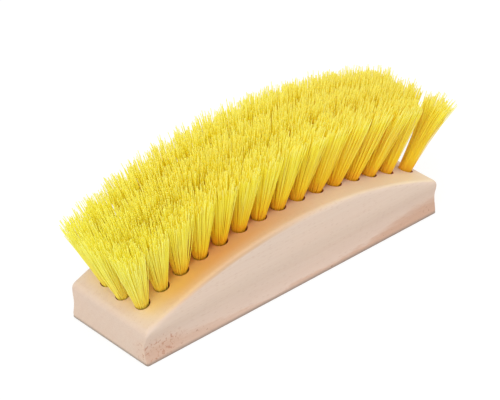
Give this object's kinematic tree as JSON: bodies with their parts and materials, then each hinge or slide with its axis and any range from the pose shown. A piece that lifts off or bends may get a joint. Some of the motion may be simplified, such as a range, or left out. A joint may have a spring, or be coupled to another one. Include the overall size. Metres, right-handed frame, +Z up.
{
  "type": "banneton brush",
  "caption": "Hand brush for proofing baskets: an arched wooden block on a flat back, a finger groove along each long side, and rows of stiff yellow bristle tufts fanning from the arch.",
  "frame": {"origin": "middle of the wooden block's flat back, in the plane that it rests on", "axes": "+Z up through the bristles, +X along the block, +Y across it"},
  "size_m": [0.2239, 0.0582, 0.0841],
  "materials": {
    "beech": "bare, unvarnished pale beech",
    "bristle": "stiff yellow plastic fibre, satin",
    "anchor_wire": "flat drawn wire"
  },
  "bodies": {
    "root": {"block": "beech", "tuft_near_01": "bristle", "tuft_near_02": "bristle", "tuft_near_03": "bristle", "tuft_near_04": "bristle", "tuft_near_05": "bristle", "tuft_near_06": "bristle", "tuft_near_07": "bristle", "tuft_near_08": "bristle", "tuft_near_09": "bristle", "tuft_near_10": "bristle", "tuft_near_11": "bristle", "tuft_near_12": "bristle", "tuft_near_13": "bristle", "tuft_near_14": "bristle", "tuft_near_15": "bristle", "tuft_middle_01": "bristle", "tuft_middle_02": "bristle", "tuft_middle_03": "bristle", "tuft_middle_04": "bristle", "tuft_middle_05": "bristle", "tuft_middle_06": "bristle", "tuft_middle_07": "bristle", "tuft_middle_08": "bristle", "tuft_middle_09": "bristle", "tuft_middle_10": "bristle", "tuft_middle_11": "bristle", "tuft_middle_12": "bristle", "tuft_middle_13": "bristle", "tuft_middle_14": "bristle", "tuft_middle_15": "bristle", "tuft_middle_16": "bristle", "tuft_far_01": "bristle", "tuft_far_02": "bristle", "tuft_far_03": "bristle", "tuft_far_04": "bristle", "tuft_far_05": "bristle", "tuft_far_06": "bristle", "tuft_far_07": "bristle", "tuft_far_08": "bristle", "tuft_far_09": "bristle", "tuft_far_10": "bristle", "tuft_far_11": "bristle", "tuft_far_12": "bristle", "tuft_far_13": "bristle", "tuft_far_14": "bristle", "tuft_far_15": "bristle"}
  },
  "joints": []
}
